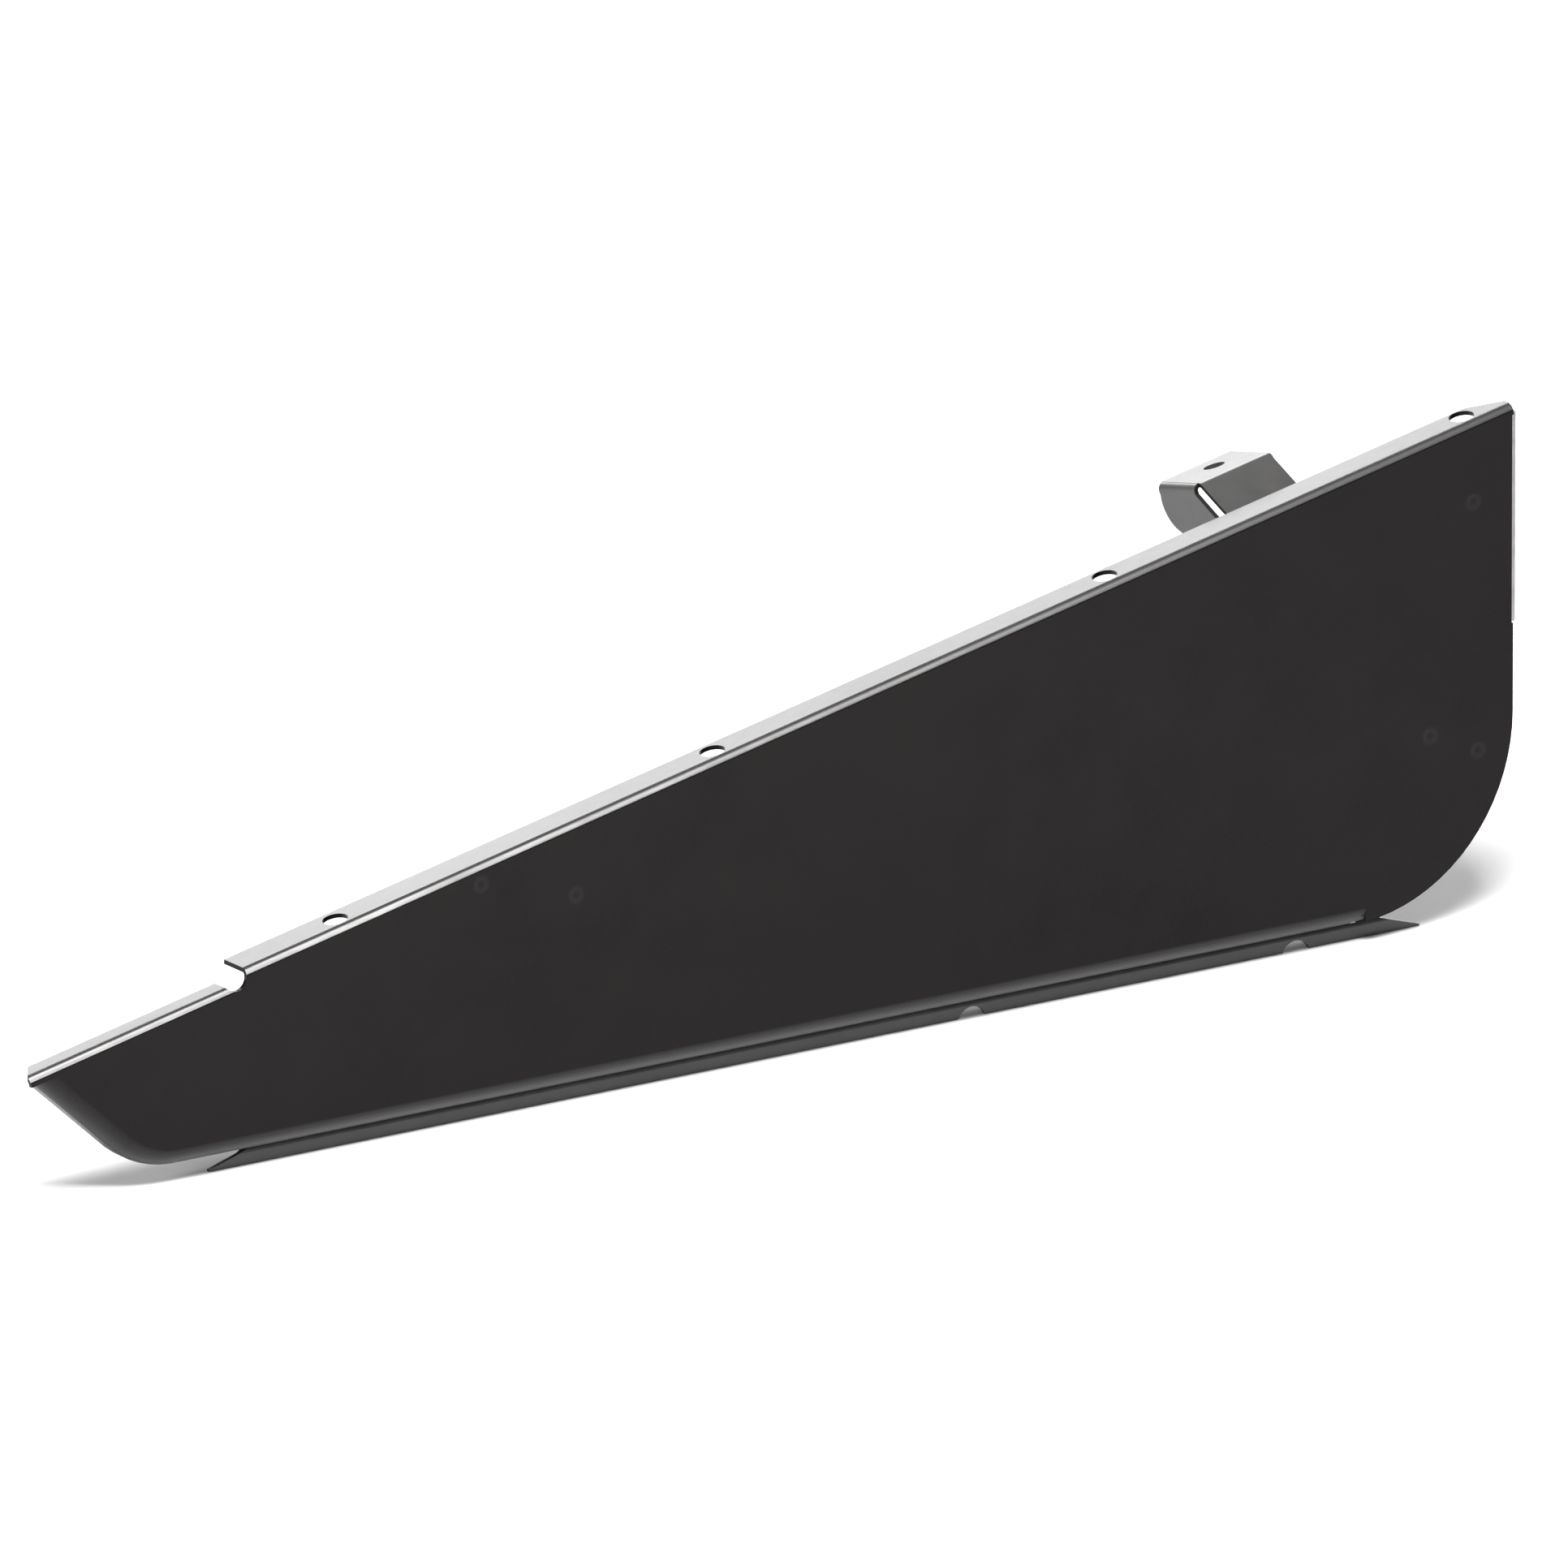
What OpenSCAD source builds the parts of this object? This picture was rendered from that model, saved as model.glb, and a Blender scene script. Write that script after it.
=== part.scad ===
// Tapered kick plate: a folded sheet-steel panel with a sloping drilled top flange,
// a notched lower rail and welded brackets behind. The face looks towards -Y.

/* [Panel] */
// Length of the panel from the nose tip to the tail edge
panel_length = 581; // [540:1:640]
// Height of the panel at the tail, over the top flange
tail_height = 168; // [155:1:185]
// Slope of the top edge in degrees
top_slope = 12; // [11.5:0.1:12.5]
// How far the short nose length of the top edge steps down
nose_step = 4; // [2:0.5:5]
// Rake of the nose in degrees from the horizontal
nose_rake = 42; // [38:1:50]
// Radius that blends the nose into the bottom edge
nose_r = 35; // [30:1:45]
// Radius of the lower tail corner
tail_r = 62; // [40:1:80]

/* [Sheet] */
// Sheet thickness
sheet = 1.5; // [1:0.1:2]
// Outside radius of the tight folds along the top and tail edges
tight_r = 2.6; // [2.1:0.1:3]
// Outside radius of the soft bend along the nose and bottom edges
soft_r = 7; // [4:0.5:8]

/* [Returns] */
// Depth of the top flange where it starts, beside the notch
flange_depth = 13.2; // [12:0.2:15]
// Depth of the top flange at the tail
flange_tail_depth = 11.6; // [11.6:0.2:13]
// Depth of the narrow nose length of the top flange
nose_flange_depth = 8; // [6:0.5:12]
// Depth of the soft return along the bottom
return_depth = 20; // [18:1:24]
// Depth of the soft return round the nose
nose_return_depth = 11; // [9:1:14]
// Where the bottom return ends, from the nose tip
bottom_return_end = 522; // [480:1:540]
// Depth of the tail return
tail_return_depth = 12; // [8:1:20]
// How far the tail return stands out past the tail edge below it
tail_return_step = 2; // [0:0.1:2]
// Height at which the tail return starts
tail_return_z = 94; // [85:1:120]

/* [Fixings] */
// Diameter of the top flange holes
flange_hole_d = 8.5; // [6:0.1:8.8]
// Distance of the flange holes behind the face
flange_hole_y = 7; // [6.5:0.1:7.5]
// Distances of the four flange holes from the nose tip
flange_hole_x = [123, 270, 424, 565]; // [100:1:565]
// Width of the round-ended notch in the top edge
top_notch_w = 8; // [6:0.5:10]
// Distance of that notch from the nose tip
top_notch_x = 80; // [70:1:95]

/* [Lower rail] */
// Distance of the rail's front face behind the face of the panel
rail_setback = 7; // [6:0.5:10]
// How far the rail reaches below the bottom return
rail_drop = 6; // [5.5:0.5:10]
// Where the top of the rail starts, from the nose tip
rail_start = 92; // [80:1:110]
// Where the top of the rail ends, from the nose tip
rail_end = 531; // [520:1:545]
// How far the lower edge of the rail runs on past its top at both ends
rail_taper = 18; // [0:1:22]
// Distances of the rail's two half-round notches from the nose tip
rail_notch_x = [372, 500]; // [120:1:530]
// Radius of the rail's notches
rail_notch_r = 5.75; // [5:0.25:7]

/* [Bracket] */
// Distance of the bracket from the nose tip, along the bottom edge
bracket_x = 475; // [300:1:500]
// Width of the bracket along the top edge
bracket_w = 31.9; // [28:0.1:40]
// Diameter of the hole in the bracket's pad
pad_hole_d = 7.3; // [5:0.1:9]
// Length of the bracket's pad, front to rear
pad_length = 24.2; // [22:0.1:30]
// Angle at which the pad falls towards its rear edge
pad_fall = 13.6; // [8:0.1:18]
// Angle at which the web climbs from the panel to the pad
web_rise = 29.2; // [28:0.1:31]

/* [Hidden] */
$fn = 96;
lap = 1;
big = 2000;
slope_tan = tan(top_slope);
past = 3;
ease = 0.02;
nose_tip_x = 0;
nose_mitre_run = 4.5;
nose_sweep = 9;
nose_return_end = 72;
tail_corner_cut = [14, 8.5];
raw_edge_z = 1.5;
relief_w = 0.6;
relief_h = 2;
relief_lap = 0.3;
tail_corner_gap = 1;
top_notch_z = 55.5;
rail_notch_h = 3.4;
rail_tip_h = 0.6;
mark_r = 2.8;
mark_groove = 0.7;
mark_depth = 0.12;
weld_r = 2.5;
weld_crown = 0.5;
rail_weld_x = [130, 255, 320, 435, 510];
rail_weld_y = 14.5;
tail_weld_at = [[548, 60.5], [567, 52.5], [565, 137.5]];
nose_weld_at = [[175, 75], [212, 65]];
stiffener_x = 541;
stiffener_w = 34;
stiffener_z = 44;
stiffener_h = 103;
stiffener_depth = 15;
tab_x = 167;
tab_w = 53;
tab_z = 57;
tab_depth = 16;
crest_y = 27.3;
crest_n = 6.3;
foot_h = 18;
bracket_bend_r = 1.75;
gusset_gap = 0.5;
gusset_front = 1.7;
gusset_step = 0.4;
gusset_skirt = 12.3;
gusset_r = 10;
gusset_slot = 5.2;
pad_hole_s = 17;
pad_hole_u = 14.5;
bead_r = 2.5;

// Height of the outside of the top flange, and of its stepped nose length
function top_z(x) = tail_height - (panel_length - x) * slope_tan;
function nose_z(x) = top_z(x) - nose_step;

nose_tip = [nose_tip_x, nose_z(nose_tip_x)];
// Where the raked nose line would meet the bottom line
heel_x = nose_tip.x + nose_tip.y / tan(nose_rake);
// Where the nose flange's mitre reaches its rear edge, seen from above
nose_mitre = [nose_tip.x + nose_mitre_run, nose_flange_depth];
// Centre of the nose blend, tangent to the bottom line and to the nose line
nose_c = [heel_x + nose_r * tan(nose_rake / 2), nose_r];
nose_join = nose_c - nose_r * [sin(nose_rake), cos(nose_rake)];
tail_c = [panel_length - tail_r, raw_edge_z + tail_r];
tail_fold_x = panel_length + tail_return_step;

// The origin is the middle of the first flange hole
datum = [flange_hole_x[0] + sheet / 2 * sin(top_slope), flange_hole_y,
         top_z(flange_hole_x[0]) - sheet / 2 * cos(top_slope)];

black = [0.09, 0.09, 0.10];
black_bracket = [0.14, 0.14, 0.15];
black_weld = [0.2, 0.2, 0.2];

// Moves the panel so that the first flange hole is the origin
module placed() {
    translate(-datum) children();
}

// Everything to the right of a line through p with the given direction, moved inwards
module outside(p, direction, inset) {
    translate(p) rotate(direction) translate([-big, inset - big]) square([2 * big, big]);
}

// An outline in X and Z made into sheet that starts at y and grows backwards
module upright(y, thickness) {
    translate([0, y + thickness, 0]) rotate([90, 0, 0]) linear_extrude(thickness) children();
}

// A section in inward and backward distance, run along the edge from p0 to p1
module along_edge(p0, p1) {
    run = p1 - p0;
    translate([p1.x, 0, p1.y]) rotate([0, -90 - atan2(run.y, run.x), 0])
        linear_extrude(norm(run)) children();
}

// The section of a folded edge: a quarter bend and a leg that runs back
module return_section(r, depth) {
    intersection() {
        translate([r, r]) difference() {
            circle(r);
            circle(r - sheet);
        }
        square(r);
    }
    translate([0, r]) square([sheet, depth - r]);
    translate([r, 0]) square([lap, sheet]);
}

function unit(v) = v / norm(v);
function left_of(v) = [-v.y, v.x];

// Turn between the runs a to b and b to c in degrees, positive to the left
function turn(a, b, c) = let (u = b - a, v = c - b) atan2(u.x * v.y - u.y * v.x, u * v);

// The point half a sheet beside the corner b, to the left for side 1
function mitre(a, b, c, side) = let (m = left_of(unit(b - a)), n = left_of(unit(c - b)))
    b + side * sheet / 2 * (m + n) / (1 + m * n);

// Both ends and the mitred corners of one side of a band
function band_side(p, side) = let (last = len(p) - 1) concat(
    [p[0] + side * sheet / 2 * left_of(unit(p[1] - p[0]))],
    [for (i = [1 : 1 : last - 1]) mitre(p[i - 1], p[i], p[i + 1], side)],
    [p[last] + side * sheet / 2 * left_of(unit(p[last] - p[last - 1]))]);

// A band of sheet along a middle line of points, with every corner bent to radius r.
// Here and below a round stands proud of its tangent by the ease, so it meets a line cleanly
module strip(points, r) {
    right = band_side(points, -1);
    corners = [for (i = [1 : 1 : len(points) - 2]) [points[i - 1], points[i], points[i + 1]]];
    difference() {
        union() {
            polygon(concat(band_side(points, 1), [for (i = [len(right) - 1 : -1 : 0]) right[i]]));
            for (k = corners) bend_kite(k[0], k[1], k[2], r, 1, r - sheet / 2 + ease);
        }
        for (k = corners) bend_kite(k[0], k[1], k[2], r, 2, r + sheet / 2 + ease);
    }
}

// The kite between a bend's centre, its two tangent points and its corner, less a circle
module kite(centre, start, corner, end, reach, hole_r) {
    difference() {
        polygon([for (p = [[0, 0], start - centre, corner - centre, end - centre])
                 centre + reach * p]);
        translate(centre) circle(hole_r);
    }
}

// The kite at the corner b of a band, whose middle line is bent to radius r
module bend_kite(a, b, c, r, reach, hole_r) {
    way = turn(a, b, c);
    back = r * tan(abs(way) / 2);
    start = b - back * unit(b - a);
    end = b + back * unit(c - b);
    centre = start + sign(way) * r * left_of(unit(b - a));
    kite(centre, way > 0 ? end : start, b, way > 0 ? start : end, reach, hole_r);
}

// The outline of the sheet: the soft edges at full size, the tight edges at their bend lines
module sheet_outline() {
    difference() {
        polygon([nose_tip, [heel_x, 0], [tail_fold_x, 0], [tail_fold_x, top_z(tail_fold_x)],
                 [top_notch_x, top_z(top_notch_x)], [top_notch_x, nose_z(top_notch_x)]]);
        translate([bottom_return_end, -1]) square([relief_w, relief_h + 1]);
        translate([bottom_return_end, -1]) square([panel_length, raw_edge_z + 1]);
        outside([panel_length, top_z(panel_length)], 180 + top_slope, tight_r);
        intersection() {
            outside(nose_tip, 180 + top_slope, tight_r);
            square([top_notch_x, big]);
        }
        translate([panel_length, -1]) square([big, tail_return_z + 1]);
        translate([panel_length + tail_return_step - tight_r, tail_return_z - relief_w]) square(big);
        nose_kite(nose_r);
        tail_spandrel();
        top_notch();
    }
}

// The nose corner outside a circle about the nose blend's centre
module nose_kite(r) {
    kite(nose_c, nose_join, [heel_x, 0], nose_c - [0, nose_r], 1.2, r + ease);
}

// What the tail corner's radius removes
module tail_spandrel() {
    difference() {
        translate([tail_c.x, raw_edge_z - 1]) square([tail_r + 1, tail_r + 1]);
        translate(tail_c) circle(tail_r);
    }
}

// The round-ended notch that parts the nose flange from the main flange
module top_notch() {
    low = top_notch_z + top_notch_w / 2;
    translate([top_notch_x, low]) circle(top_notch_w / 2);
    translate([top_notch_x - top_notch_w / 2, low]) square([top_notch_w, big]);
}

// The hollow behind the sheet, open at the back, the top and the tail
module hollow_outline() {
    difference() {
        translate([-panel_length, -panel_length]) square(3 * panel_length);
        translate([-big, sheet - big]) square([big + bottom_return_end, big]);
        outside(nose_tip, -nose_rake, sheet);
        nose_kite(nose_r - sheet);
    }
}

// What rounds the front edge of a block over to radius r along the soft edges
module soft_round(r, inset) {
    module waste() difference() {
        translate([-1, -1]) square(r + 1);
        translate([r - ease, r - ease]) circle(r);
    }
    tip_side = nose_tip + soft_r * [-cos(nose_rake), sin(nose_rake)];
    in_nose = inset * [sin(nose_rake), cos(nose_rake)];
    translate([0, inset, 0]) {
        along_edge([nose_c.x - past, inset],
                   [bottom_return_end + relief_w + relief_lap, inset]) waste();
        along_edge(tip_side + in_nose, nose_join + in_nose + past * [cos(nose_rake), -sin(nose_rake)])
            waste();
        translate([nose_c.x, 0, nose_c.y]) rotate([-90, 0, 0]) rotate([0, 0, 90])
            rotate_extrude(angle = nose_rake) translate([nose_r - inset + ease, 0])
                mirror([1, 0]) waste();
    }
}

// The face with the soft return round the nose and along the bottom
module soft_shell() {
    difference() {
        upright(0, return_depth) sheet_outline();
        soft_round(soft_r, 0);
        difference() {
            upright(sheet, return_depth) hollow_outline();
            soft_round(soft_r - sheet, sheet);
        }
        in_plan() polygon([[-lap, sheet], [0, sheet], nose_mitre,
                           nose_mitre + [nose_sweep, nose_return_depth - nose_mitre.y + past],
                           [-lap, nose_return_depth + past]]);
        translate([-lap, nose_return_depth, -1])
            cube([lap + nose_return_end, return_depth, tail_height]);
    }
}

// An outline in X and Y, seen from above, made as tall as the panel
module in_plan() {
    translate([0, 0, -1]) linear_extrude(tail_height + 2) children();
}

// The outline of the top flange seen from above
module flange_plan() {
    polygon([[nose_tip.x, -1], [nose_tip.x, sheet], nose_mitre, [top_notch_x, nose_flange_depth],
             [top_notch_x, flange_depth], [tail_fold_x - tail_corner_cut.x, flange_tail_depth],
             [tail_fold_x, flange_tail_depth - tail_corner_cut.y], [tail_fold_x, -1]]);
}

// The tight returns along the top and the tail, drilled and notched
module tight_returns() {
    difference() {
        intersection() {
            union() {
                along_edge([tail_fold_x - tight_r, top_z(tail_fold_x - tight_r)],
                           [top_notch_x, top_z(top_notch_x)]) return_section(tight_r, flange_depth);
                along_edge([top_notch_x, nose_z(top_notch_x)], nose_tip)
                    return_section(tight_r, flange_depth);
            }
            in_plan() flange_plan();
        }
        upright(-1, flange_depth + 2) top_notch();
        for (x = flange_hole_x) on_slope(x) translate([0, flange_hole_y, -big / 2])
            cylinder(d = flange_hole_d, h = big);
    }
    tail_return();
}

// The return along the straight part of the tail, with its upper corner cut off
module tail_return() {
    high = top_z(tail_fold_x) - tight_r - tail_corner_gap;
    cut = tail_return_depth - tight_r;
    intersection() {
        along_edge([tail_fold_x, tail_return_z], [tail_fold_x, high])
            return_section(tight_r, tail_return_depth);
        rotate([90, 0, 90]) linear_extrude(tail_fold_x + 1)
            polygon([[-1, tail_return_z - 1], [tail_return_depth + 1, tail_return_z - 1],
                     [tail_return_depth + 1, high - cut - 1], [tight_r, high], [-1, high]]);
    }
}

// Puts a piece on the outside of the top flange at x, turned to the slope
module on_slope(x) {
    translate([x, 0, top_z(x)]) rotate([0, -top_slope, 0]) children();
}

// The faint ring that a plug weld behind leaves on the face
module weld_mark() {
    rotate([-90, 0, 0]) rotate_extrude()
        translate([mark_r - mark_groove, -1]) square([mark_groove, 1 + mark_depth]);
}

module face_plate() color(black) placed() difference() {
    union() {
        soft_shell();
        tight_returns();
    }
    for (at = concat(tail_weld_at, nose_weld_at)) translate([at.x, 0, at.y]) weld_mark();
}

// A hole through a sheet that lies against the back of the face
module face_weld_hole(at) {
    translate([at.x, sheet, at.y]) rotate([-90, 0, 0])
        translate([0, 0, -1]) cylinder(r = weld_r, h = sheet + 2);
}

// The slanting cut that takes the top corner off the rail's end, seen from the front
module rail_end_cut() {
    translate([0, -past, 0]) rotate([-90, 0, 0]) mirror([0, 1, 0]) linear_extrude(return_depth + 2 * past)
        polygon([[0, past], [0, 0], [-rail_taper, rail_tip_h - rail_drop],
                 [-rail_taper - past, rail_tip_h - rail_drop], [-rail_taper - past, past]]);
}

// The strip under the bottom return: one leg welded under it, one leg hanging down
module lower_rail() color(black) placed() difference() {
    translate([rail_start - rail_taper, 0, 0]) rotate([90, 0, 90])
        linear_extrude(rail_end - rail_start + 2 * rail_taper)
            strip([[return_depth, -sheet / 2], [rail_setback + sheet / 2, -sheet / 2],
                   [rail_setback + sheet / 2, -rail_drop]], tight_r - sheet / 2);
    translate([rail_start, 0, 0]) rail_end_cut();
    translate([rail_end, 0, 0]) mirror([1, 0, 0]) rail_end_cut();
    for (x = rail_notch_x)
        translate([x, -1, -rail_drop + rail_notch_h - rail_notch_r]) rotate([-90, 0, 0])
            cylinder(r = rail_notch_r, h = rail_setback + 2 * sheet);
    for (x = rail_weld_x) translate([x, rail_weld_y, -sheet - 1]) cylinder(r = weld_r, h = sheet + 2);
}

// The bracket's profile in backward distance and height above the flange
web_foot_n = crest_n - (crest_y - sheet * 1.5) * tan(web_rise);
pad_dir = [cos(pad_fall), -sin(pad_fall)];
pad_down = [-sin(pad_fall), -cos(pad_fall)];
pad_end = [crest_y, crest_n] + pad_length * pad_dir;

module bracket_profile() {
    half = sheet / 2;
    strip([[sheet + half, web_foot_n - foot_h - half], [sheet + half, web_foot_n - half],
           [crest_y, crest_n - half], pad_end - [0, half]], bracket_bend_r);
}

module mounting_bracket() color(black_bracket) placed() on_slope(bracket_x) difference() {
    union() {
        translate([sheet + gusset_gap, 0, 0]) rotate([90, 0, 90])
            linear_extrude(bracket_w - 2 * (sheet + gusset_gap)) bracket_profile();
        gusset_side();
        translate([bracket_w, 0, 0]) mirror([1, 0, 0]) gusset_side();
    }
    translate([pad_hole_s, crest_y, crest_n]) rotate([-pad_fall, 0, 0])
        translate([0, pad_hole_u, -4 * sheet]) cylinder(d = pad_hole_d, h = 6 * sheet);
}

// One bent side of the bracket: a fold along the pad's edge and a gusset with a round corner
module gusset_side() {
    pad_top = [crest_y, crest_n];
    below = (tight_r + lap / 2) * pad_down;
    rear = pad_end - gusset_step * pad_dir;
    translate([0, pad_top.x, pad_top.y]) rotate([-pad_fall, 0, 0]) translate([0, gusset_front, 0])
        rotate([90, 0, 0]) mirror([0, 0, 1]) linear_extrude(pad_length - gusset_front) {
            intersection() {
                translate([tight_r, -tight_r]) difference() {
                    circle(tight_r);
                    circle(tight_r - sheet);
                }
                translate([0, -tight_r]) square(tight_r);
            }
            translate([tight_r, -sheet]) square([lap, sheet]);
            translate([0, -tight_r - lap]) square([sheet, lap]);
        }
    corner = rear - [0, gusset_skirt];
    foot = [sheet, web_foot_n - foot_h];
    rotate([90, 0, 90]) linear_extrude(sheet) difference() {
        polygon([pad_top + (gusset_front + gusset_step) * pad_dir + below, rear + below, corner, foot,
                 [sheet, web_foot_n - gusset_slot]]);
        bend_kite(rear + below, corner, foot, gusset_r, 2, gusset_r + ease);
    }
}

// The L-shaped stiffener behind the tail
module tail_stiffener() color(black_bracket) placed() difference() {
    half = sheet / 2;
    translate([0, 0, stiffener_z]) linear_extrude(stiffener_h)
        strip([[stiffener_x + stiffener_w, sheet + half], [stiffener_x + half, sheet + half],
               [stiffener_x + half, stiffener_depth]], bracket_bend_r);
    for (at = tail_weld_at) face_weld_hole(at);
}

// The tab behind the nose: a foot that follows the top flange and a shelf
module nose_tab() color(black_bracket) placed() difference() {
    half = sheet / 2;
    intersection() {
        translate([tab_x, 0, 0]) rotate([90, 0, 90]) linear_extrude(tab_w)
            strip([[sheet + half, top_z(tab_x + tab_w)],
                   [sheet + half, tab_z + half], [tab_depth, tab_z + half]], bracket_bend_r);
        upright(0, tab_depth + 1)
            outside([0, top_z(0) - 2 * sheet / cos(top_slope)], top_slope, 0);
    }
    for (at = nose_weld_at) face_weld_hole(at);
}

// A plug weld that fills a hole and stands a little proud
module plug_weld() {
    crown_r = (weld_r * weld_r / weld_crown + weld_crown) / 2;
    cylinder(r = weld_r, h = sheet);
    translate([0, 0, sheet]) rotate_extrude() intersection() {
        translate([0, weld_crown - crown_r]) circle(crown_r);
        square([weld_r, weld_crown]);
    }
}

module plug_welds() color(black_weld) placed() {
    for (at = concat(tail_weld_at, nose_weld_at))
        translate([at.x, sheet, at.y]) rotate([-90, 0, 0]) plug_weld();
    for (x = rail_weld_x) translate([x, rail_weld_y, 0]) rotate([180, 0, 0]) plug_weld();
}

// Beads in the corners between the bracket's gussets and the back of the face
module bracket_weld_beads() color(black_weld) placed() on_slope(bracket_x) {
    for (side = [0, 1]) translate([side * bracket_w, sheet, web_foot_n - foot_h])
        rotate([0, 0, side * -90]) intersection() {
            cylinder(r = bead_r, h = foot_h - 4 * sheet);
            translate([-bead_r, 0, 0]) cube([bead_r, bead_r, foot_h]);
        }
}

face_plate();
lower_rail();
mounting_bracket();
tail_stiffener();
nose_tab();
plug_welds();
bracket_weld_beads();
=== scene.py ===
"""Looks of the kick plate: painted sheet steel on a pale studio floor."""

import math

import bmesh
import bpy
from mathutils import Matrix, Vector


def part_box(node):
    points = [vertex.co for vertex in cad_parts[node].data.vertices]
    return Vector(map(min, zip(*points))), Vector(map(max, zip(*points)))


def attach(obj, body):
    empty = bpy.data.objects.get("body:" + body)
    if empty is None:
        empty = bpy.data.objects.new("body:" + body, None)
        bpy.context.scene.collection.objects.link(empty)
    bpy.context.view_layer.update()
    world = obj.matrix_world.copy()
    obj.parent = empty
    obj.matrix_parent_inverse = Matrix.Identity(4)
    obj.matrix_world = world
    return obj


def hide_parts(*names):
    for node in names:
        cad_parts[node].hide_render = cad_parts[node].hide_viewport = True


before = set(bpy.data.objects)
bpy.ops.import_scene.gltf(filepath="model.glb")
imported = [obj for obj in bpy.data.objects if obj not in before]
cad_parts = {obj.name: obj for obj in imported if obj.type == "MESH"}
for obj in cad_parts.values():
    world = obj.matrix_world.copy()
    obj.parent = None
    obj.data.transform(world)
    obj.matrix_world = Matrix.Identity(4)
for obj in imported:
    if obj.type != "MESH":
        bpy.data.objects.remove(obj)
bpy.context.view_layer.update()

MM = 0.001
WELD_MARK_RADIUS = 2.4 * MM  # middle of the raised ring over a plug weld
WELD_MARK_REACH = 4 * MM  # how far from its middle a mark is flattened
WELD_MARK_DEPTH = 0.3 * MM  # deeper than any mark, and less deep than the sheet
CUT_EDGE_HALF = 0.85 * MM  # half the widest strip that counts as a sheared edge
FOLD_DEPTH = 2.8 * MM  # a little more than the tight folds reach behind the face
PAINTED_LIGHT_FADE = 120 * MM  # further from the nose than this, the painted highlight on surfaces facing down is at its palest
JOIN_DISTANCE = 2e-6  # vertices closer than this become one
SAME_PLANE = math.radians(0.3)  # neighbouring faces that turn less become one
SMOOTH_TURN = math.radians(24)  # edges that turn less are shaded smooth
RIM_TURN = math.radians(40)  # edges that turn more get a softened rim
SHEET_CORNER = math.radians(50)  # edges that turn more can bound a sheared edge

panel_low, panel_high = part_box("face_plate")
rail_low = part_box("lower_rail")[0]
middle = (panel_low + panel_high) / 2


def face_weld_centres():
    """Middles of the plug welds behind the face: the loose islands that are flat from front to back."""
    bm = bmesh.new()
    bm.from_mesh(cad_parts["plug_welds"].data)
    bmesh.ops.remove_doubles(bm, verts=bm.verts, dist=JOIN_DISTANCE)
    left, centres = set(bm.verts), []
    while left:
        island, rim = set(), [left.pop()]
        while rim:
            v = rim.pop()
            island.add(v)
            near = {e.other_vert(v) for e in v.link_edges} & left
            left -= near
            rim += near
        low = Vector([min(v.co[i] for v in island) for i in range(3)])
        high = Vector([max(v.co[i] for v in island) for i in range(3)])
        if high.z - low.z > high.y - low.y:
            centres.append((low + high) / 2)
    bm.free()
    return centres


WELDS = face_weld_centres()


# ---------------------------------------------------------------- materials


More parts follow.
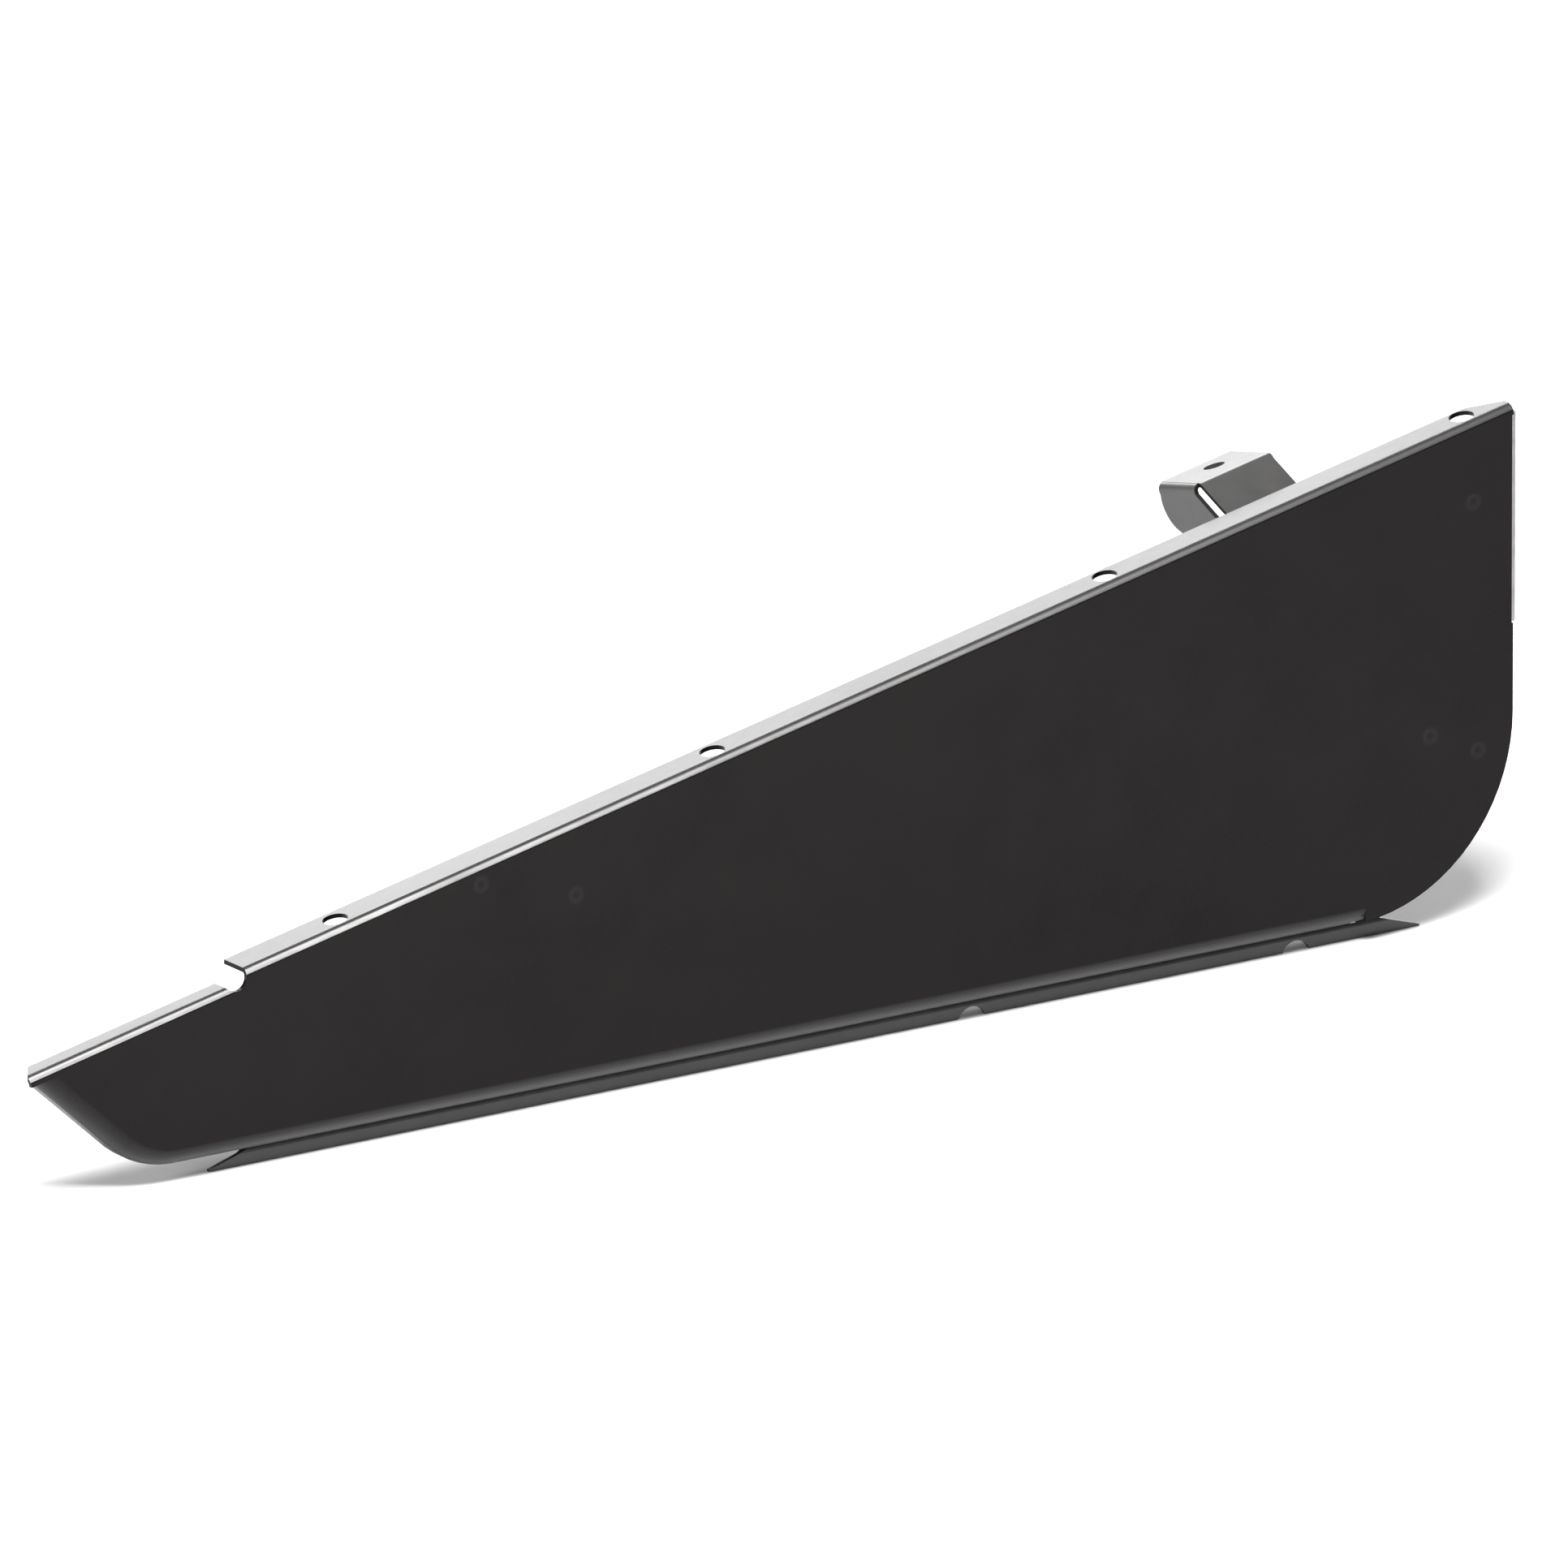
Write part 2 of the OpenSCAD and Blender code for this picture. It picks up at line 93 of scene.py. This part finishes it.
class Nodes:
    """One material's shader nodes. place is the object's own coordinates, and facing runs from -1 where
    a surface faces down to 1 where it faces up."""

    def __init__(self, name):
        self.material = bpy.data.materials.new(name)
        self.material.use_nodes = True
        self.tree = self.material.node_tree
        self.tree.nodes.clear()
        self.out = self.tree.nodes.new("ShaderNodeOutputMaterial")
        self.shader = self.tree.nodes.new("ShaderNodeBsdfPrincipled")
        self.link(self.shader.outputs[0], self.out.inputs["Surface"])
        coordinates = self.tree.nodes.new("ShaderNodeTexCoord")
        self.place = coordinates.outputs["Object"]
        self.facing = self.part(coordinates.outputs["Normal"], 2)

    def link(self, a, b):
        self.tree.links.new(a, b)

    def put(self, socket, value):
        if isinstance(value, bpy.types.NodeSocket):
            self.link(value, socket)
        else:
            socket.default_value = value

    def noise(self, scale, detail=3.0, roughness=0.5, vector=None):
        n = self.tree.nodes.new("ShaderNodeTexNoise")
        self.link(vector or self.place, n.inputs["Vector"])
        n.inputs["Scale"].default_value = scale
        n.inputs["Detail"].default_value = detail
        n.inputs["Roughness"].default_value = roughness
        return n.outputs["Fac"]

    def ramp(self, value, low, high, out_low=0.0, out_high=1.0):
        n = self.tree.nodes.new("ShaderNodeMapRange")
        for socket, v in zip(n.inputs[:5], (value, low, high, out_low, out_high)):
            self.put(socket, v)
        return n.outputs[0]

    def math(self, operation, a, b=0.0):
        n = self.tree.nodes.new("ShaderNodeMath")
        n.operation = operation
        self.put(n.inputs[0], a)
        self.put(n.inputs[1], b)
        return n.outputs[0]

    def mix(self, share, a, b):
        n = self.tree.nodes.new("ShaderNodeMix")
        n.data_type = "RGBA"
        self.put(n.inputs["Factor"], share)
        colours = [s for s in n.inputs if s.type == "RGBA"]
        self.put(colours[0], a)
        self.put(colours[1], b)
        return next(s for s in n.outputs if s.type == "RGBA")

    def bump(self, height, distance, strength=1.0, normal=None):
        n = self.tree.nodes.new("ShaderNodeBump")
        n.inputs["Strength"].default_value = strength
        n.inputs["Distance"].default_value = distance
        self.link(height, n.inputs["Height"])
        if normal is not None:
            self.link(normal, n.inputs["Normal"])
        return n.outputs[0]

    def stretched(self, x, y, z):
        """Object coordinates scaled differently along each axis, for brushed or streaked marks."""
        n = self.tree.nodes.new("ShaderNodeMapping")
        self.link(self.place, n.inputs["Vector"])
        n.inputs["Scale"].default_value = (x, y, z)
        return n.outputs[0]

    def part(self, vector, i):
        """One component of a vector."""
        n = self.tree.nodes.new("ShaderNodeSeparateXYZ")
        self.link(vector, n.inputs[0])
        return n.outputs[i]

    def ring(self, centre, radius, width):
        """1 on a soft ring about a point of the face, 0 elsewhere."""
        flat = self.stretched(1, 0, 1)
        n = self.tree.nodes.new("ShaderNodeVectorMath")
        n.operation = "DISTANCE"
        self.link(flat, n.inputs[0])
        n.inputs[1].default_value = (centre.x, 0, centre.z)
        off = self.math("ABSOLUTE", self.math("SUBTRACT", n.outputs["Value"], radius))
        return self.ramp(off, width, 0.0)


def grey(v, warm=0.0):
    return (v * (1 + warm), v, v * (1 - warm), 1.0)


def paint(name, shade, roughness, specular=0.5, peel=0.012, waves=0.0, dull_and_painted_light_below=0.0, warm=0.0,
          sheen_tint=(1, 1, 1, 1), marks=()):
    """Gloss black paint on sheet steel: orange peel, slow waves of the sheet and a mottled gloss.

    Given a share of dullness below, surfaces that face down are made that much rougher, and paler too: a
    painted highlight standing in for the floor's light on them, weaker near the nose. marks are the middles
    of weld marks, drawn as faint raised rings, each ring also painted paler, a painted highlight."""
    n = Nodes(name)
    mottle = n.noise(38, 5, 0.62)
    cloud = n.noise(7.5, 2)
    base = n.mix(n.ramp(mottle, 0.35, 0.68), grey(shade * 0.82, warm), grey(shade * 1.25, warm + 0.03))
    base = n.mix(n.ramp(cloud, 0.45, 0.7, 0.0, 0.5), base, grey(shade * 1.35, warm + 0.02))
    # Painted highlight: surfaces that face down get a paler colour for the floor's light on them, weaker
    # near the nose.
    if dull_and_painted_light_below:
        painted_light_from_nose = n.ramp(n.part(n.place, 0), panel_low.x, panel_low.x + PAINTED_LIGHT_FADE, 0.35, 1.0)
        base = n.mix(n.math("MULTIPLY", n.ramp(n.facing, -0.02, -0.75), painted_light_from_nose), base, grey(0.06))
    # Painted highlight: each weld mark's ring is painted paler, where the raised ring would catch the
    # light.
    for centre in marks:
        base = n.mix(n.math("MULTIPLY", n.ring(centre, 2.0 * MM, 1.6 * MM), 0.38), base, grey(0.02))
    n.link(base, n.shader.inputs["Base Color"])
    scuff = n.noise(1.0, 6, 0.7, n.stretched(60, 400, 700))
    gloss = n.ramp(n.math("ADD", n.math("MULTIPLY", cloud, 0.6), n.math("MULTIPLY", scuff, 0.4)),
                   0.35, 0.65, roughness * 0.82, roughness * 1.22)
    if dull_and_painted_light_below:
        gloss = n.math("ADD", gloss, n.ramp(n.facing, -0.05, -0.6, 0.0, dull_and_painted_light_below))
    n.link(gloss, n.shader.inputs["Roughness"])
    n.shader.inputs["Specular IOR Level"].default_value = specular
    n.shader.inputs["Specular Tint"].default_value = sheen_tint
    normal = n.bump(n.noise(620, 2, 0.4), peel * MM, 0.6)
    if waves:
        normal = n.bump(n.noise(11, 1, 0.3), waves * MM, 1.0, normal)
    for centre in marks:
        normal = n.bump(n.ring(centre, WELD_MARK_RADIUS, 1.1 * MM), 0.12 * MM, 0.8, normal)
    n.link(normal, n.shader.inputs["Normal"])
    return n.material


def burnished(name, shade, roughness):
    """Paint polished thin over a tight fold, so that the steel shines through; where the fold turns to face
    up its colour is darker, a painted shade.
    """
    n = Nodes(name)
    worn = n.noise(1.0, 4, 0.6, n.stretched(30, 500, 160))
    metal = n.mix(n.ramp(worn, 0.3, 0.7), grey(shade * 0.8), grey(shade * 1.2, 0.01))
    # Painted shade: the colour is darker where the fold faces up.
    n.link(n.mix(n.ramp(n.facing, 0.90, 0.95), metal, grey(shade * 0.8)), n.shader.inputs["Base Color"])
    n.shader.inputs["Metallic"].default_value = 1.0
    n.link(n.ramp(worn, 0.3, 0.7, roughness * 1.2, roughness * 0.9), n.shader.inputs["Roughness"])
    n.link(n.bump(n.noise(500, 3), 0.01 * MM, 0.5), n.shader.inputs["Normal"])
    return n.material


def worn_paint(name, shade, bare):
    """Paint over a sheared or folded edge, thinner there, with small spots of steel showing."""
    n = Nodes(name)
    worn = n.ramp(n.noise(230, 6, 0.66), 0.60 - bare * 0.2, 0.70 - bare * 0.2)
    base = n.mix(n.noise(90, 3), grey(shade * 0.9), grey(shade * 1.6, 0.02))
    n.link(n.mix(worn, base, grey(0.34, 0.03)), n.shader.inputs["Base Color"])
    n.link(worn, n.shader.inputs["Metallic"])
    n.link(n.ramp(n.noise(300, 4), 0.3, 0.7, 0.25, 0.45), n.shader.inputs["Roughness"])
    n.link(n.bump(n.noise(900, 3), 0.012 * MM, 0.7), n.shader.inputs["Normal"])
    return n.material


def cut_edge(name, shade):
    """The sheared edge of the sheet: dull, thinly painted, with fine marks from the shear, and near black,
    darker than the bracket's paint: a painted shade for edges that sit in shadow.
    """
    n = Nodes(name)
    marks = n.noise(1.0, 4, 0.6, n.stretched(900, 900, 2600))
    # Painted shade: near black, darker than the bracket's paint, for edges that sit in shadow.
    n.link(n.mix(n.ramp(marks, 0.3, 0.7), grey(shade * 0.6), grey(shade * 1.4)),
           n.shader.inputs["Base Color"])
    n.link(n.ramp(marks, 0.3, 0.7, 0.5, 0.7), n.shader.inputs["Roughness"])
    n.shader.inputs["Specular IOR Level"].default_value = 0.2
    n.link(n.bump(marks, 0.02 * MM, 0.5), n.shader.inputs["Normal"])
    return n.material


def weld_metal(name, shade):
    """Weld metal under paint: rippled, a little rougher than the sheet round it."""
    n = Nodes(name)
    spots = n.noise(420, 5, 0.7)
    n.link(n.mix(n.ramp(spots, 0.4, 0.7), grey(shade * 0.8), grey(shade * 2.0, 0.05)),
           n.shader.inputs["Base Color"])
    n.link(n.ramp(spots, 0.35, 0.65, 0.3, 0.5), n.shader.inputs["Roughness"])
    n.link(n.bump(n.noise(900, 3, 0.6), 0.12 * MM, 0.8), n.shader.inputs["Normal"])
    return n.material


panel_paint = paint("panel_paint", 0.0040, 0.20, specular=0.118, peel=0.006, waves=0.05, dull_and_painted_light_below=0.15,
                    warm=0.06, sheen_tint=(1, 0.9, 0.93, 1), marks=WELDS)
fold_paint = burnished("fold_paint", 0.26, 0.22)
# Painted light: the rail has the panel's black paint, given a paler colour for the light it catches.
rail_paint = paint("rail_paint", 0.026, 0.36, specular=0.45, peel=0.02)
# Painted light: the bracket, stiffener and tab have a paler copy of the black paint, for the light their
# faces catch.
bracket_paint = paint("bracket_paint", 0.040, 0.34, specular=0.5, peel=0.03)
edge_paint = worn_paint("edge_paint", 0.02, 0.0)
bracket_edge = worn_paint("bracket_edge", 0.07, 0.25)
dark_cut = cut_edge("dark_cut", 0.006)
painted_weld = weld_metal("painted_weld", 0.03)

# ------------------------------------------------------------------- pieces


def flatten_marks(bm):
    """Lets the shallow weld marks of the face close up; the paint draws them as soft rings."""
    for v in bm.verts:
        if v.co.y < panel_low.y + WELD_MARK_DEPTH:
            if any(math.hypot(v.co.x - w.x, v.co.z - w.z) < WELD_MARK_REACH for w in WELDS):
                v.co.y = panel_low.y


def is_cut_edge(face):
    """Whether a face is a long narrow strip as wide as the sheet, with sharp edges all round."""
    around = sum(e.calc_length() for e in face.edges)
    sharp = sum(e.calc_length() for e in face.edges
                if len(e.link_faces) == 2 and e.calc_face_angle(0) > SHEET_CORNER)
    return face.calc_area() / around < CUT_EDGE_HALF and sharp > 0.85 * around


def is_tight_fold(face):
    """Whether a face is on the outside of one of the panel's tight folds. The top fold turns from the face
    up into the flange, which leans a little towards the nose, and the tail fold into the tail return."""
    n = face.normal
    deepest = max(v.co.y for v in face.verts)
    if deepest > panel_low.y + FOLD_DEPTH or n.x < -0.25 or n.z < -0.02:
        return False
    if n.x > n.z:
        return n.x > 0.02 and 0.03 < -n.y < 0.9995
    return n.z > 0.02 and 0.12 < -n.y < 0.94


def refined(node, material, edge, bevel, tidy=None, folds=None):
    """A finished copy of a CAD node: merged faces, smooth bends and softened sheared edges.

    Its materials are, in order, the sheet's paint, the softened rims, the sheared edges and, if given, the
    folds. bevel is the width of the softened rims in millimetres."""
    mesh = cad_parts[node].data.copy()
    mesh.name = node + "_finished"
    bm = bmesh.new()
    bm.from_mesh(mesh)
    bmesh.ops.remove_doubles(bm, verts=bm.verts, dist=JOIN_DISTANCE)
    if tidy:
        tidy(bm)
        bmesh.ops.remove_doubles(bm, verts=bm.verts, dist=JOIN_DISTANCE)
    bmesh.ops.dissolve_degenerate(bm, edges=bm.edges, dist=JOIN_DISTANCE)
    bmesh.ops.dissolve_limit(bm, angle_limit=SAME_PLANE, use_dissolve_boundaries=False,
                             verts=bm.verts, edges=bm.edges, delimit=set())
    for face in bm.faces:
        face.smooth = True
        face.material_index = 2 if is_cut_edge(face) else 3 if folds and is_tight_fold(face) else 0
    for e in bm.edges:
        e.smooth = len(e.link_faces) == 2 and e.calc_face_angle(0) < SMOOTH_TURN
    mesh.materials.clear()
    for m in [material, edge, dark_cut] + ([folds] if folds else []):
        mesh.materials.append(m)
    bm.to_mesh(mesh)
    bm.free()
    piece = bpy.data.objects.new(node + "_finished", mesh)
    bpy.context.scene.collection.objects.link(piece)
    if bevel:
        rim = piece.modifiers.new("rim", "BEVEL")
        rim.width = bevel * MM
        rim.segments = 2
        rim.limit_method = "ANGLE"
        rim.angle_limit = RIM_TURN
        rim.material = 1
        rim.use_clamp_overlap = True
    weighted = piece.modifiers.new("weighted", "WEIGHTED_NORMAL")
    weighted.keep_sharp = True
    weighted.weight = 80
    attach(piece, "root")
    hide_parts(node)


refined("face_plate", panel_paint, edge_paint, 0.18, flatten_marks, fold_paint)
refined("lower_rail", rail_paint, edge_paint, 0.15)
refined("mounting_bracket", bracket_paint, bracket_edge, 0.15)
refined("tail_stiffener", bracket_paint, bracket_edge, 0.15)
refined("nose_tab", bracket_paint, bracket_edge, 0.15)
refined("plug_welds", painted_weld, painted_weld, 0.0)
refined("bracket_weld_beads", painted_weld, painted_weld, 0.0)

# ------------------------------------------------------------ studio, camera

FLOOR_HALF = 12.0
FLOOR_Z = rail_low.z - 0.2 * MM
corners = [(-FLOOR_HALF, -FLOOR_HALF), (FLOOR_HALF, -FLOOR_HALF), (FLOOR_HALF, FLOOR_HALF),
           (-FLOOR_HALF, FLOOR_HALF)]
floor_mesh = bpy.data.meshes.new("floor")
floor_mesh.from_pydata([(x, y, FLOOR_Z) for x, y in corners], [], [(0, 1, 2, 3)])
floor = bpy.data.objects.new("floor", floor_mesh)
bpy.context.scene.collection.objects.link(floor)
pale = Nodes("pale_floor")
pale.link(pale.mix(pale.noise(0.8, 2), grey(0.86), grey(0.88)), pale.shader.inputs["Base Color"])
pale.shader.inputs["Roughness"].default_value = 0.9
pale.shader.inputs["Specular IOR Level"].default_value = 0.1
floor_mesh.materials.append(pale.material)

world = bpy.data.worlds.new("studio")
bpy.context.scene.world = world
world.use_nodes = True
world.node_tree.nodes["Background"].inputs["Color"].default_value = (1, 1, 1, 1)
world.node_tree.nodes["Background"].inputs["Strength"].default_value = 0.25


def softbox(name, at, target, width, length, power, along=(0, 0, 1)):
    """A rectangular area light at a point, facing the target, with its length along a direction."""
    light = bpy.data.lights.new(name, "AREA")
    light.shape = "RECTANGLE"
    light.size, light.size_y = width, length
    light.energy = power
    o = bpy.data.objects.new(name, light)
    bpy.context.scene.collection.objects.link(o)
    o.location = at
    away = (Vector(at) - Vector(target)).normalized()
    side = Vector(along).cross(away).normalized()
    o.rotation_mode = "QUATERNION"
    o.rotation_quaternion = Matrix((side, away.cross(side), away)).transposed().to_quaternion()
    o.visible_camera = False
    return o


# Two lights show only in gloss: fold_strip draws the light line along the top fold, and backdrop_high is
# the pale wall that the flange reflects. backdrop_fill, in the same place, gives light but no reflection.
centre = Vector((middle.x, middle.y, rail_low.z))
fold_middle = Vector((middle.x - 0.05, panel_low.y, middle.z))
fold_strip_length = Vector((-0.38, 1.85, 1.80))
softbox("key", centre + Vector((-0.60, -1.02, 2.1)), centre, 1.1, 0.9, 124)
strip = softbox("fold_strip", fold_middle + Vector((0.50, -1.18, 1.39)), fold_middle, 0.38, 2.6, 11,
                fold_strip_length)
strip.visible_diffuse = False
backdrop_at = centre + Vector((1.3, 2.6, 1.65))
sheen = softbox("backdrop_high", backdrop_at, centre, 3.2, 1.1, 128)
sheen.visible_diffuse = False
fill = softbox("backdrop_fill", backdrop_at, centre, 3.2, 1.1, 64)
fill.visible_glossy = False
softbox("backdrop_low", centre + Vector((1.4, 2.8, 0.45)), centre, 3.4, 0.8, 22)

# The view is almost parallel: a very long lens from far away
AZIMUTH, ELEVATION, DISTANCE = math.radians(-34.33), math.radians(17.12), 21.13
AIM = Vector((0.1702, -0.007, 0.0185))
camera_data = bpy.data.cameras.new("camera")
camera_data.lens = 1500
camera_data.sensor_width = 36
camera_data.clip_start, camera_data.clip_end = 0.5, 60
camera = bpy.data.objects.new("camera", camera_data)
bpy.context.scene.collection.objects.link(camera)
back = Vector((math.sin(AZIMUTH) * math.cos(ELEVATION), -math.cos(AZIMUTH) * math.cos(ELEVATION),
               math.sin(ELEVATION)))
camera.location = AIM + back * DISTANCE
camera.rotation_mode = "QUATERNION"
camera.rotation_quaternion = back.to_track_quat("Z", "Y")
bpy.context.scene.camera = camera
bpy.context.scene.view_settings.view_transform = "Standard"
